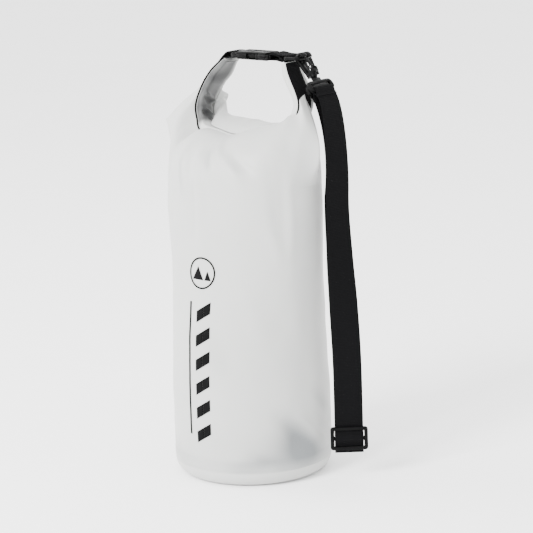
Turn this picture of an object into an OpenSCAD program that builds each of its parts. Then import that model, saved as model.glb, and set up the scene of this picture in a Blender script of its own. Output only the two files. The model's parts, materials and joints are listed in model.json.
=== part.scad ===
// Roll-top dry bag, 20 litres: a welded fabric tube with a round base, a rolled mouth closed into a
// carrying loop by a side-release buckle, and a webbing shoulder strap on two snap hooks.
// The origin is the centre of the base on the ground. X runs along the mouth, -Y is the printed front.

/* [Bag] */
// Radius of the filled fabric tube
tube_r = 102; // [98:1:106]
// Height where the tube starts to flatten towards the mouth
shoulder_z = 399; // [394:1:402]
// Fabric thickness, with its coating
fabric_t = 1.2; // [0.8:0.1:1.5]
// Radius of the rounded bottom edge
base_edge_r = 20; // [14:1:24]
// Height of the welded base flange
flange_h = 14; // [10:1:20]

/* [Rolled mouth] */
// Underside of the roll at its lowest point
roll_z = 455; // [453:1:457]
// Width of the rolled mouth, front to back
roll_w = 33; // [30:1:36]
// Thickness of the roll
roll_t = 10; // [9:0.5:11]
// Half the width of the carrying loop
loop_r = 92; // [88:1:94]

/* [Closure] */
// Width of the closure webbing
tab_w = 25; // [22:1:26]
// Width of the buckle
buckle_w = 33; // [32:1:36]
// Thickness of the buckle
buckle_t = 11; // [11:0.5:12]
// Height of the buckle's middle
buckle_z = 561; // [560:0.5:562]
// How far the buckle's middle lies behind the bag's axis
buckle_y = 34; // [32:1:35]

/* [Shoulder strap] */
// Width of the strap webbing
strap_w = 38; // [34:1:38]
// Thickness of the strap webbing
strap_t = 1.6; // [1.2:0.1:1.8]
// Height of the strap's lowest point
strap_z = 36; // [30:1:40]

/* [Hidden] */

eps = 0.01;
gap = 0.3;
around = 56;

// ---- Fabric tube ----
// Half widths of the section where the shoulder starts
mouth_a = 115;
mouth_b = 83;
// Where the left and right side folds end on the roll, as a place along its path
fold_left = 1.5;
fold_right = 1.14;
// How far the tube's top edge stands off the roll, and the thickness of the closure webbing
seat = 2.4;
band_t = 1.4;

function lerp(a, b, t) = a + (b - a) * t;
function smooth(t) = t * t * (3 - 2 * t);
function clamp01(t) = min(1, max(0, t));
function bez(p, t) =
    p[0] * pow(1 - t, 3) + p[1] * 3 * t * pow(1 - t, 2) + p[2] * 3 * t * t * (1 - t) + p[3] * pow(t, 3);
function unit(v) = v / norm(v);

// Half widths of the tube at height z: round below, flattening towards the shoulder
flat_from_z = 164;
function flat_part(z) = smooth(clamp01((z - flat_from_z) / (shoulder_z - flat_from_z)));
// The load makes the lower half a little wider
load_swell = 5;
swell_z = 66;
swell_reach = 125;
function swell(z) = load_swell * exp(-pow((z - swell_z) / swell_reach, 2));
function tube_a(z) = lerp(tube_r + swell(z), mouth_a, flat_part(z));
function tube_b(z) = lerp(tube_r + swell(z), mouth_b, flat_part(z));
function tube_at(phi, z, inset) =
    [(tube_a(z) - inset) * cos(phi), (tube_b(z) - inset) * sin(phi), z];

// Path of the roll's outer face in X and Z: 0 is the middle of the trough, -2 and 2 the arms' ends
low_curve = [[0, roll_z], [62, roll_z], [loop_r, roll_z + 8], [loop_r, roll_z + 41]];
arm_curve = [[loop_r, roll_z + 41], [loop_r, roll_z + 62], [75, roll_z + 81], [50, roll_z + 99]];
function path_half(q) = q <= 1 ? bez(low_curve, q) : bez(arm_curve, q - 1);
function path_at(q) = [sign(q) * path_half(abs(q))[0], path_half(abs(q))[1]];
function path_dir(q) = unit(path_at(min(2, q + 0.02)) - path_at(max(-2, q - 0.02)));
function path_out(q) = [path_dir(q)[1], -path_dir(q)[0]];
// The loop leans back as it rises
function lean(z) = 1 + 20 * (1 - exp(-(z - roll_z) / 14)) + 13 * (z - roll_z) / 104;
function roll_width(q) = roll_w - 6 * smooth(clamp01((abs(q) - 1.3) / 0.7));
function roll_thick(q) = roll_t - 3 * smooth(clamp01((abs(q) - 1.3) / 0.7));
// A point near the roll: y across its width from its middle, n outward from its outer face
function roll_point(q, y, n) =
    let(p = path_at(q), o = path_out(q))
    [p[0] + o[0] * n, lean(p[1]) + y, p[1] + o[1] * n];

// Top edge of the fabric tube, which runs along both edges of the roll and meets at the side folds
function top_q(phi) =
    let(turn = abs(((phi + 90) % 360 + 360) % 360 > 180 ? ((phi + 90) % 360 + 360) % 360 - 360
                                                        : ((phi + 90) % 360 + 360) % 360),
        side = cos(phi) < 0 ? -fold_left : fold_right,
        share = (turn > 90 ? 180 - turn : turn) / 90)
    side * share;
function top_at(phi, inset) =
    let(q = top_q(phi) * (1 - inset * 0.03), half = roll_width(q) / 2 - inset - 0.5,
        at_side = abs(sin(phi)) < 0.02)
    at_side ? roll_point(q, 0, seat + 4 - inset * 0.6) : roll_point(q, half * sign(sin(phi)), seat + inset);

// The shoulder: a curve at each angle from the tube up to the roll. The folded sides stand out as a
// sharp ridge, which these steps shape: from the tube and from the roll, on the left and on the right
left_ridge = [[-31, -2, 75], [-64, -32, -50]];
right_ridge = [[11, -2, 50], [24, -22, -50]];
ridge_power = 24;
front_ease = [0, -42, 6];
rear_ease = [0, 40, 15];
panel_rise = [0, 0, 52];
function shoulder_at(phi, t, inset) =
    let(s = tube_at(phi, shoulder_z, inset), e = top_at(phi, inset),
        side = pow(abs(cos(phi)), ridge_power), ridge = cos(phi) < 0 ? left_ridge : right_ridge,
        c1 = s + lerp(panel_rise, ridge[0], side),
        c2 = e + lerp(sin(phi) < 0 ? front_ease : rear_ease, ridge[1], side))
    bez([s, c1, c2, e], t);

tube_rows = [for (i = [0:9]) lerp(base_edge_r + flange_h * 0.1, shoulder_z, i / 9)];
shoulder_steps = [for (i = [1:9]) i / 9];
function tube_grid(inset) = concat(
    [for (z = tube_rows) [for (j = [0:around - 1]) tube_at(j * 360 / around, z, inset)]],
    [for (t = shoulder_steps) [for (j = [0:around - 1]) shoulder_at(j * 360 / around, t, inset)]]);

// ---- Closed meshes from rings of points ----
function flat(rings) = [for (r = rings) for (p = r) p];
function wall_faces(rows, n, first, flip) =
    [for (i = [0:rows - 2]) for (j = [0:n - 1])
        let(a = first + i * n + j, b = first + i * n + (j + 1) % n)
        each flip ? [[a, a + n, b + n], [a, b + n, b]] : [[a, b, b + n], [a, b + n, a + n]]];

// A solid swept through rings that each lie in a plane
module loft(rings) {
    n = len(rings[0]);
    rows = len(rings);
    last = (rows - 1) * n;
    caps = [for (j = [1:n - 2]) each [[0, j + 1, j], [last, last + j, last + j + 1]]];
    polyhedron(points = flat(rings), faces = concat(wall_faces(rows, n, 0, false), caps), convexity = 8);
}

// A pipe: the outer rings with the inner rings taken out of them
module hollow_loft(outer, inner) {
    n = len(outer[0]);
    rows = len(outer);
    count = rows * n;
    last = (rows - 1) * n;
    start = [for (j = [0:n - 1]) [j, count + j, count + (j + 1) % n, (j + 1) % n]];
    end = [for (j = [0:n - 1])
        [last + j, last + (j + 1) % n, count + last + (j + 1) % n, count + last + j]];
    polyhedron(points = concat(flat(outer), flat(inner)),
        faces = concat(wall_faces(rows, n, 0, false), wall_faces(rows, n, count, true), start, end),
        convexity = 8);
}

// Faces that close the top ring of the tube along the roll
function roof_faces(first, flip) =
    let(half = around / 2)
    concat(
        [flip ? [first, first + around - 1, first + 1] : [first, first + 1, first + around - 1]],
        [for (j = [1:half - 2])
            flip ? [first + j, first + around - j, first + around - j - 1, first + j + 1]
                 : [first + j, first + j + 1, first + around - j - 1, first + around - j]],
        [flip ? [first + half - 1, first + half + 1, first + half]
              : [first + half - 1, first + half, first + half + 1]]);

module fabric_tube() {
    outer = tube_grid(0);
    inner = tube_grid(fabric_t);
    rows = len(outer);
    count = rows * around;
    last = (rows - 1) * around;
    rim = [for (j = [0:around - 1]) [j, count + j, count + (j + 1) % around, (j + 1) % around]];
    color([0.93, 0.94, 0.93])
        polyhedron(points = concat(flat(outer), flat(inner)),
            faces = concat(wall_faces(rows, around, 0, false), wall_faces(rows, around, count, true),
                rim, roof_faces(last, false), roof_faces(count + last, true)),
            convexity = 10);
}

base_r = tube_a(base_edge_r);
module base_disc() {
    flat_r = base_r - base_edge_r;
    outer_r = base_r - fabric_t - gap;
    color([0.9, 0.91, 0.9])
        rotate_extrude($fn = 96)
            union() {
                square([flat_r + eps, fabric_t]);
                translate([flat_r, base_edge_r])
                    intersection() {
                        difference() {
                            circle(base_edge_r, $fn = 64);
                            circle(base_edge_r - fabric_t, $fn = 64);
                        }
                        translate([0, -base_edge_r]) square([base_edge_r, base_edge_r + eps]);
                    }
                translate([outer_r - fabric_t, base_edge_r]) square([fabric_t, flange_h]);
                translate([outer_r - fabric_t, base_edge_r]) square([gap + fabric_t * 2, 1]);
            }
}

// How far strips and print stand off the fabric, so that they clear its facets
skin_gap = 0.35;

// A strip that lies on the tube between two angles and two heights
module tube_patch(phi_a, phi_b, z_a, z_b, thick, steps, rows) {
    loft([for (i = [0:rows]) let(z = lerp(z_a, z_b, i / rows)) concat(
        [for (k = [0:steps]) tube_at(lerp(phi_a, phi_b, k / steps), z, -skin_gap - thick)],
        [for (k = [steps:-1:0]) tube_at(lerp(phi_a, phi_b, k / steps), z, -skin_gap)])]);
}

band_weld_t = 0.6;
module base_weld_band() {
    low = base_edge_r + 2;
    outer = [for (z = [low, low + flange_h])
        [for (j = [0:around - 1]) tube_at(j * 360 / around, z, -skin_gap - band_weld_t)]];
    inner = [for (z = [low, low + flange_h])
        [for (j = [0:around - 1]) tube_at(j * 360 / around, z, -0.15)]];
    color([0.85, 0.87, 0.86]) hollow_loft(outer, inner);
}

module back_seam_tape() {
    color([0.88, 0.9, 0.89]) tube_patch(84, 96, base_edge_r + flange_h + 4, shoulder_z - 4, 0.6, 4, 12);
}

// A plain badge: a round frame with two peaks in it, and a row of slanted bars beside a thin rule
badge_z = 287;
badge_r = 21;
bar_z = [58, 254];
bar_count = 6;
print_t = 0.3;
function on_front(x, z, lift) = tube_at(-90 + x * 360 / (2 * PI * tube_r), z, -lift);
function disc_points(r, lift) =
    [for (j = [0:35]) on_front(r * cos(j * 10), badge_z + r * sin(j * 10), lift)];
module print_shape(points) {
    loft([for (lift = [skin_gap, skin_gap + print_t]) [for (p = points) on_front(p[0], p[1], lift)]]);
}
module front_graphic() {
    step = (bar_z[1] - bar_z[0]) / bar_count;
    color([0.05, 0.05, 0.06]) {
        hollow_loft([disc_points(badge_r, skin_gap), disc_points(badge_r, skin_gap + print_t)],
            [disc_points(badge_r - 2.2, skin_gap), disc_points(badge_r - 2.2, skin_gap + print_t)]);
        print_shape([[-15, badge_z - 9], [3, badge_z - 9], [-6, badge_z + 8]]);
        print_shape([[5, badge_z - 9], [15, badge_z - 9], [9, badge_z + 3]]);
        for (k = [0:bar_count - 1]) for (half = [0, 1])
            let(low = bar_z[0] + k * step, x = half * 11 - 5)
            print_shape([[x, low + half * 7], [x + 10.8, low + half * 7 + 6.8],
                [x + 10.8, low + half * 7 + 22], [x, low + half * 7 + 15.2]]);
        tube_patch(-100.2, -98.4, bar_z[0] + 10, bar_z[1] - 6, print_t, 1, 8);
    }
}

// ---- Rolled mouth ----
round_corners = 5;
// Corner points of a rounded box across the roll, hung from its outer face at depth n_a to n_b
function roll_section(q, half, n_a, n_b, r) =
    [for (c = [[1, n_a - r, 0], [-1, n_a - r, 90], [-1, n_b + r, 180], [1, n_b + r, 270]])
        for (k = [0:round_corners - 1])
            let(angle = c[2] + 90 * k / (round_corners - 1))
            roll_point(q, -c[0] * (half - r) - r * cos(angle), c[1] + r * sin(angle))];
function steps_between(a, b, n) = [for (i = [0:n]) lerp(a, b, i / n)];

split = 0.8;
module roll_piece(a, b, n) {
    qs = steps_between(a, b, n);
    color([0.92, 0.93, 0.92])
        hollow_loft(
            [for (q = qs) roll_section(q, roll_width(q) / 2, 0, -roll_thick(q), roll_thick(q) * 0.38)],
            [for (q = qs) roll_section(q, 12.2, -roll_thick(q) / 2 + 1.5, -roll_thick(q) / 2 - 1.5, 0.6)]);
}
module stiffener_piece(a, b, n) {
    color([0.1, 0.1, 0.11])
        loft([for (q = steps_between(a, b, n))
            roll_section(q, 11.8, -roll_thick(q) / 2 + 1.1, -roll_thick(q) / 2 - 1.1, 0.4)]);
}
module band_piece(a, b, n) {
    color([0.06, 0.06, 0.07])
        loft([for (q = steps_between(a, b, n)) roll_section(q, tab_w / 2, gap + band_t, gap, 0.3)]);
}
module mouth_roll() { roll_piece(-2, split, 26); }
module mouth_roll_right() { roll_piece(split + 0.005, 2, 12); }
module mouth_stiffener() { stiffener_piece(-1.95, split - 0.01, 26); }
module mouth_stiffener_right() { stiffener_piece(split + 0.015, 1.95, 12); }
module handle_webbing() { band_piece(-1.98, split, 26); }
module handle_webbing_right() { band_piece(split + 0.005, 1.98, 12); }

// ---- Buckle ----
female_x = [-22, 15];
male_x = [15.4, 27];
bar_l = -31;
bar_r = 33;
bar_radius = 2.4;
wrap_t = 2;
// Side rails that carry the webbing bars, and the shallow relief on the outer faces
rail_t = 3.2;
rail_h = 6;
rail_y = tab_w / 2 + 2.1;
bar_reach = buckle_w / 2 - 2.2;
relief = 0.6;
shell_t = 2;

// Places a buckle part in its own plane: X along the loop, Y across, Z through its thickness
module in_buckle() { translate([0, buckle_y, buckle_z]) children(); }

// A rounded slab, made of bars that keep their true round edges
module slab(x0, x1, w, t, r) {
    for (side = [-1, 1])
        translate([x0, side * (w / 2 - r), 0])
            rotate([0, 90, 0]) cylinder(r = r, h = x1 - x0, $fn = 48);
    translate([x0, -(w / 2 - r), -t / 2]) cube([x1 - x0, w - 2 * r, t]);
}

// A closed webbing loop seen from the side, from the bar it wraps to its sewn end
module webbing_wrap(bar_x, end_x, thick, width) {
    inner_r = bar_radius + gap;
    dir = end_x > bar_x ? 1 : -1;
    long = abs(end_x - bar_x);
    translate([bar_x, width / 2, 0])
        rotate([90, 0, 0])
            linear_extrude(width)
                scale([dir, 1])
                    difference() {
                        union() {
                            circle(inner_r + thick, $fn = 48);
                            translate([0, -inner_r - thick])
                                square([long, 2 * (inner_r + thick)]);
                        }
                        circle(inner_r, $fn = 48);
                        translate([0, -inner_r]) square([long * 0.45, 2 * inner_r]);
                    }
}

module left_tab() {
    color([0.07, 0.07, 0.08]) in_buckle() webbing_wrap(bar_l, bar_l - 19, wrap_t, tab_w);
}
module right_tab() {
    color([0.07, 0.07, 0.08]) in_buckle() webbing_wrap(bar_r, bar_r + 17, wrap_t, tab_w);
}

prong_slot_w = buckle_w - 4;
// The side windows that the latch pads fill, and the first grip rib
window_x = -5;
window_l = 16;
rib_x = -18.5;
module buckle_female() {
    color([0.03, 0.03, 0.03]) in_buckle() {
        difference() {
            slab(female_x[0], female_x[1], buckle_w, buckle_t, buckle_t / 2);
            translate([female_x[0] + 5, -prong_slot_w / 2, -buckle_t / 2 + shell_t])
                cube([female_x[1] - female_x[0], prong_slot_w, buckle_t - 2 * shell_t]);
            translate([window_x, -buckle_w, -buckle_t / 2 + shell_t])
                cube([window_l, 2 * buckle_w, buckle_t - 2 * shell_t]);
            for (k = [0:3])
                translate([rib_x + 3 * k, -7, buckle_t / 2 - relief]) cube([1.4, 14, 2]);
            translate([-4, -9, buckle_t / 2 - relief]) cube([14, 18, 2]);
        }
        for (side = [-1, 1])
            translate([bar_l, side * rail_y - rail_t / 2, -rail_h / 2])
                cube([female_x[0] - bar_l + eps, rail_t, rail_h]);
        translate([bar_l, -bar_reach, 0])
            rotate([-90, 0, 0]) cylinder(r = bar_radius, h = 2 * bar_reach, $fn = 48);
    }
}

// The guide tongue slides in the female half; the prongs spring in two pockets beside it
guide_l = 26;
guide_w = 6;
guide_h = 4.8;
pocket_l = 7;
pocket_w = 5.6;
pocket_y = buckle_w / 2 - 9;
module buckle_male() {
    color([0.03, 0.03, 0.03]) in_buckle() {
        difference() {
            slab(male_x[0], male_x[1], buckle_w, buckle_t, buckle_t / 2);
            for (k = [0:1])
                translate([18.5 + 4 * k, -8, buckle_t / 2 - relief]) cube([1.6, 16, 2]);
            for (y = [-pocket_y - pocket_w, pocket_y])
                translate([male_x[0] - 1, y, -rail_h / 2]) cube([pocket_l, pocket_w, rail_h]);
        }
        translate([male_x[0] - guide_l, -guide_w / 2, -guide_h / 2])
            cube([guide_l + eps, guide_w, guide_h]);
        for (side = [-1, 1])
            translate([male_x[1] - eps, side * rail_y - rail_t / 2, -rail_h / 2])
                cube([bar_r - male_x[1] + eps, rail_t, rail_h]);
        translate([bar_r, -bar_reach, 0])
            rotate([-90, 0, 0]) cylinder(r = bar_radius, h = 2 * bar_reach, $fn = 48);
    }
}

// One springy latch prong: a slim arm with a thumb pad that fills the side window
prong_y = 10.5;
prong_h = 4.6;
prong_t = 2.6;
prong_tip_x = -9;
pad_x = -3.5;
pad_l = 13;
prong_root_x = male_x[0] + 3;
// The pads stay just inside the side walls, so that the male half slides past them
prong_reach = buckle_w / 2 - 2.3;
module latch_prong(side) {
    color([0.05, 0.05, 0.05]) in_buckle()
        scale([1, side, 1]) {
            translate([prong_root_x, prong_y, -prong_h / 2]) cylinder(r = 1.8, h = prong_h, $fn = 32);
            translate([prong_tip_x, prong_y - 1.6, -prong_h / 2])
                cube([prong_root_x - prong_tip_x, prong_t, prong_h]);
            translate([pad_x, prong_y, -prong_h / 2]) cube([pad_l, prong_reach - prong_y, prong_h]);
            translate([prong_tip_x, prong_y, -prong_h / 2])
                linear_extrude(prong_h)
                    polygon([[0, 0], [5.6, 0], [5.6, prong_reach - prong_y], [3, 3]]);
        }
}
module latch_prong_front() { latch_prong(-1); }
module latch_prong_rear() { latch_prong(1); }

// ---- D-ring ----
ring_bar_x = 60;
bow_x = 81;
wire_r = 2.2;
module d_ring_tab() {
    color([0.07, 0.07, 0.08]) in_buckle() webbing_wrap(ring_bar_x, bar_r + 17 + gap, wrap_t, tab_w);
}

// Half the ring's width between wire middles, and the radius of its four bends
ring_half = 15.8;
bend_r = 4.6;
module wire_bend(x, y, turn) {
    translate([x, y, 0]) rotate([0, 0, turn])
        rotate_extrude(angle = 90, $fn = 64) translate([bend_r, 0]) circle(wire_r, $fn = 32);
}
module d_ring() {
    color([0.04, 0.04, 0.04]) in_buckle() {
        for (side = [-1, 1]) {
            translate([ring_bar_x + bend_r, side * ring_half, 0])
                rotate([0, 90, 0]) cylinder(r = wire_r, h = bow_x - ring_bar_x - 2 * bend_r, $fn = 32);
        }
        wire_bend(bow_x - bend_r, ring_half - bend_r, 0);
        wire_bend(ring_bar_x + bend_r, ring_half - bend_r, 90);
        wire_bend(ring_bar_x + bend_r, -ring_half + bend_r, 180);
        wire_bend(bow_x - bend_r, -ring_half + bend_r, 270);
        for (x = [ring_bar_x, bow_x])
            translate([x, -ring_half + bend_r, 0])
                rotate([-90, 0, 0]) cylinder(r = wire_r, h = 2 * (ring_half - bend_r), $fn = 32);
    }
}

// ---- Snap hooks ----
hook_w = 7;
front_tilt = 42;
rear_tilt = 27;
front_y = buckle_y - 4.3;
rear_y = buckle_y + 4.3;
crook_r = 4.2;
crook_wall = 3.8;
eye_l = 20;
stem_l = 31;
stem_r = 4.3;
slot_mid = 45;
ring_l = 48;
slot_l = strap_w + 2;
ring_bar = 2.1;
slot_half = 3.2;
ring_half_h = slot_half + 2 * ring_bar;
ring_corner_r = 6;
lug_top = 11.6;
lower_bar = slot_mid + slot_half + ring_bar;

// Places a hook: its origin is the D-ring's bow, and its stem runs down the tilted -Z
module at_hook(tilt, y) { translate([bow_x, y, buckle_z]) rotate([0, -tilt, 0]) children(); }

// The gate turns on a pin between two ears at the foot of the hook
gate_pin_z = -18;
gate_x = 6.1;
gate_w = 4.8;
gate_l = 14.4;
pin_r = 1;
run_gap = 0.05;
stud_r = 1.6;
// The foot of the hook, and the ears that hold the gate's pin
foot_h = 5.2;
foot_drop = 7;
ear_w = 5.2;
ear_t = 0.9;

module across_pin(r, w) {
    translate([gate_x, w / 2, gate_pin_z]) rotate([90, 0, 0]) cylinder(r = r, h = w, $fn = 40);
}
module hook_outline() {
    outer = crook_r + crook_wall;
    foot = -eye_l - foot_drop;
    difference() {
        union() {
            intersection() {
                circle(outer, $fn = 64);
                translate([-outer, -1.5]) square([2 * outer, outer + 1.5]);
            }
            translate([-outer, foot + 1]) square([crook_wall, -foot - 2]);
            translate([-outer, foot]) square([2 * outer, foot_h]);
        }
        circle(crook_r, $fn = 64);
    }
}
module hook_body() {
    difference() {
        union() {
            translate([0, hook_w / 2, 0]) rotate([90, 0, 0]) linear_extrude(hook_w) hook_outline();
            for (side = [-1, 1])
                translate([gate_x - ear_w / 2, side * (gate_w / 2 + 0.65) - ear_t / 2, -eye_l - 2.5])
                    cube([ear_w, ear_t, foot_drop]);
            translate([0, 0, -stem_l])
                cylinder(r = stem_r, h = stem_l - eye_l - foot_drop + eps, $fn = 48);
        }
        across_pin(pin_r + 0.02, 2 * hook_w);
        translate([0, 0, -stem_l - 1]) cylinder(r = stud_r + run_gap, h = 5, $fn = 40);
    }
}
module hook_gate() {
    difference() {
        union() {
            translate([gate_x - 1.1, -gate_w / 2, gate_pin_z + 0.6]) cube([2.2, gate_w, gate_l - 0.6]);
            across_pin(2.5, gate_w);
        }
        across_pin(pin_r + run_gap, 2 * hook_w);
    }
}
// The swivel ring: a stud that turns in the foot of the hook, and a slot for the strap
module swivel_ring() {
    corner = ring_l / 2 - ring_corner_r;
    reach = ring_half_h - ring_corner_r;
    difference() {
        translate([-ring_bar, 0, -slot_mid])
            rotate([0, 90, 0])
                linear_extrude(2 * ring_bar)
                    difference() {
                        union() {
                            for (x = [-reach, reach], y = [-corner, corner])
                                translate([x, y]) circle(ring_corner_r, $fn = 48);
                            translate([-ring_half_h, -corner]) square([2 * ring_half_h, 2 * corner]);
                            translate([-reach, -ring_l / 2]) square([2 * reach, ring_l]);
                            translate([-lug_top, -6]) square([lug_top - 4, 12]);
                        }
                        translate([-slot_half, -slot_l / 2]) square([2 * slot_half, slot_l]);
                    }
    }
    translate([0, 0, -slot_mid + lug_top - eps])
        cylinder(r = stud_r, h = slot_mid - lug_top - stem_l + 3.6 + eps, $fn = 40);
}
module on_bar(tilt, y) { at_hook(tilt, y) translate([0, 0, -lower_bar]) rotate([0, 90, 0]) children(); }

module hook_front() { color([0.04, 0.04, 0.04]) at_hook(front_tilt, front_y) hook_body(); }
module hook_rear() { color([0.04, 0.04, 0.04]) at_hook(rear_tilt, rear_y) hook_body(); }
module hook_front_gate() { color([0.06, 0.06, 0.06]) at_hook(front_tilt, front_y) hook_gate(); }
module hook_rear_gate() { color([0.06, 0.06, 0.06]) at_hook(rear_tilt, rear_y) hook_gate(); }
module hook_front_pin() { color([0.6, 0.6, 0.6]) at_hook(front_tilt, front_y) across_pin(pin_r, hook_w); }
module hook_rear_pin() { color([0.6, 0.6, 0.6]) at_hook(rear_tilt, rear_y) across_pin(pin_r, hook_w); }
module ring_front() { color([0.05, 0.05, 0.05]) at_hook(front_tilt, front_y) swivel_ring(); }
module ring_rear() { color([0.05, 0.05, 0.05]) at_hook(rear_tilt, rear_y) swivel_ring(); }

// ---- Strap ----
// A sewn webbing loop round a ring's lower bar, clear of the bar's square edges
loop_inner_r = ring_bar * sqrt(2) + gap;
module strap_loop(tail) {
    inner_r = loop_inner_r;
    translate([0, strap_w / 2, 0]) rotate([90, 0, 0])
        linear_extrude(strap_w)
            difference() {
                union() {
                    circle(inner_r + strap_t, $fn = 48);
                    translate([0, -inner_r - strap_t]) square([tail, 2 * (inner_r + strap_t)]);
                }
                circle(inner_r, $fn = 48);
                translate([0, -inner_r]) square([tail * 0.5, 2 * inner_r]);
            }
}
front_tail = 11;
rear_tail = 12;
module strap_front_loop() { color([0.05, 0.05, 0.05]) on_bar(front_tilt, front_y) strap_loop(front_tail); }
module strap_rear_loop() { color([0.05, 0.05, 0.05]) on_bar(rear_tilt, rear_y) strap_loop(rear_tail); }

// The hanging strap: where its middle is and which way it faces at height z
hang_top_z = 384;
flat_z = 134;
ply_offset = 1.7;
hang_low = [145.4, 27.5];
hang_top = [135.2, 27];
face_low = 41;
face_top = 78;
function hang_t(z) = smooth(clamp01((z - flat_z) / (hang_top_z - flat_z)));
function hang_at(z) = lerp(hang_low, hang_top, hang_t(z));
function facing(z) = lerp(face_low, face_top, hang_t(z));
function across(turn) = [cos(turn), sin(turn), 0];
function outward(turn) = [sin(turn), -cos(turn), 0];
function ply_at(z, side) =
    let(p = hang_at(z), n = outward(facing(z)))
    [p[0] + side * ply_offset * n[0], p[1] + side * ply_offset * n[1], z];

function tail_end(tilt, y, tail) =
    [bow_x + sin(tilt) * (lower_bar + tail), y, buckle_z - cos(tilt) * (lower_bar + tail)];
function down(tilt) = [sin(tilt), 0, -cos(tilt)];

// A ring across the webbing at p, with its width along w and its thickness along n
function web_ring(p, w, n) =
    [for (c = [[1, -1], [-1, -1], [-1, 1], [1, 1]])
        p + w * (c[0] * strap_w / 2) + n * (c[1] * strap_t / 2)];
function hung_rings(side, low) =
    [for (i = [0:11]) let(z = lerp(low, hang_top_z, i / 12), t = facing(z))
        web_ring(ply_at(z, side), across(t), outward(t))];
function bent_rings(side, tilt, y, tail) =
    let(end = tail_end(tilt, y, tail + (side > 0 ? gap : 1.2)), start = ply_at(hang_top_z, side),
        curve = [start, start + (side > 0 ? [2.5, 0, 48] : [7, 3, 56]),
                 end + down(tilt) * (side > 0 ? 20 : 27), end])
    [for (i = [0:8]) let(t = i / 8, p = bez(curve, t), turn = lerp(face_top, 90, smooth(t)),
                         dir = unit(bez(curve, min(1, t + 0.02)) - bez(curve, max(0, t - 0.02))),
                         w = across(turn), n = unit(cross(w, dir)))
        web_ring(p, w, n)];

module strap_ply(side, tilt, y, tail) {
    color([0.05, 0.05, 0.05])
        loft(concat(hung_rings(side, strap_z + fold_l), bent_rings(side, tilt, y, tail)));
}
module strap_front_ply() { strap_ply(1, front_tilt, front_y, front_tail); }
module strap_rear_ply() { strap_ply(-1, rear_tilt, rear_y, rear_tail); }

// Puts a part in the strap's own frame near its lower end: X across it, -Y outward
module on_strap(z) { translate([hang_low[0], hang_low[1], z]) rotate([0, 0, face_low]) children(); }

fold_r = ply_offset + strap_t / 2;
fold_l = 6;
module strap_fold() {
    color([0.05, 0.05, 0.05])
        on_strap(strap_z + fold_l - gap)
            rotate([90, 0, 90])
                translate([0, 0, -strap_w / 2])
                    linear_extrude(strap_w)
                        difference() {
                            union() {
                                translate([0, fold_r - fold_l]) circle(fold_r, $fn = 48);
                                translate([-fold_r, fold_r - fold_l]) square([2 * fold_r, fold_l - fold_r]);
                            }
                            translate([0, fold_r - fold_l]) circle(fold_r - strap_t, $fn = 48);
                            translate([-fold_r + strap_t, fold_r - fold_l])
                                square([2 * (fold_r - strap_t), fold_l + 1]);
                        }
}

glide_w = 50;
glide_h = 32;
glide_t = 3.6;
glide_bar = 5;
glide_z = strap_z + 21;
glide_slot = (glide_h - 3 * glide_bar) / 2;
glide_off = fold_r + gap;
module tri_glide() {
    r = 4;
    color([0.02, 0.02, 0.02])
        on_strap(glide_z)
            translate([0, -glide_off, 0]) rotate([90, 0, 0])
                linear_extrude(glide_t)
                    difference() {
                        union() {
                            for (x = [-1, 1], y = [-1, 1])
                                translate([x * (glide_w / 2 - r), y * (glide_h / 2 - r)])
                                    circle(r, $fn = 48);
                            square([glide_w - 2 * r, glide_h], center = true);
                            square([glide_w, glide_h - 2 * r], center = true);
                        }
                        for (y = [-1, 1])
                            translate([-slot_l / 2, y * (glide_bar + glide_slot) / 2 - glide_slot / 2])
                                square([slot_l, glide_slot]);
                    }
}
// The webbing where it crosses over the tri-glide's middle bar
module tri_glide_bridge() {
    half = glide_bar / 2 + gap;
    deep = glide_t + gap;
    color([0.05, 0.05, 0.05])
        on_strap(glide_z)
            rotate([90, 0, 90])
                translate([0, 0, -strap_w / 2])
                    linear_extrude(strap_w)
                        translate([-glide_off - deep - strap_t, 0])
                            difference() {
                                translate([0, -half - strap_t])
                                    square([deep + strap_t, 2 * (half + strap_t)]);
                                translate([strap_t, -half]) square([deep + 1, 2 * half]);
                            }
}

base_disc();
base_weld_band();
fabric_tube();
back_seam_tape();
front_graphic();
mouth_roll();
mouth_roll_right();
mouth_stiffener();
mouth_stiffener_right();
handle_webbing();
handle_webbing_right();
left_tab();
buckle_female();
buckle_male();
latch_prong_front();
latch_prong_rear();
right_tab();
d_ring_tab();
d_ring();
hook_front();
hook_front_gate();
hook_front_pin();
ring_front();
hook_rear();
hook_rear_gate();
hook_rear_pin();
ring_rear();
strap_front_loop();
strap_rear_loop();
strap_front_ply();
strap_rear_ply();
strap_fold();
tri_glide();
tri_glide_bridge();
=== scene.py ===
"""A roll-top dry bag standing closed on a pale floor, with its shoulder strap clipped to the D-ring.

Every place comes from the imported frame's boxes and from the same few driving dimensions as the CAD.
The fabric, webbing and mouldings are built here as meshes, in metres.
"""

import json
import math

import bmesh
import bpy
import numpy as np
from mathutils import Matrix, Vector, noise

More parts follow.
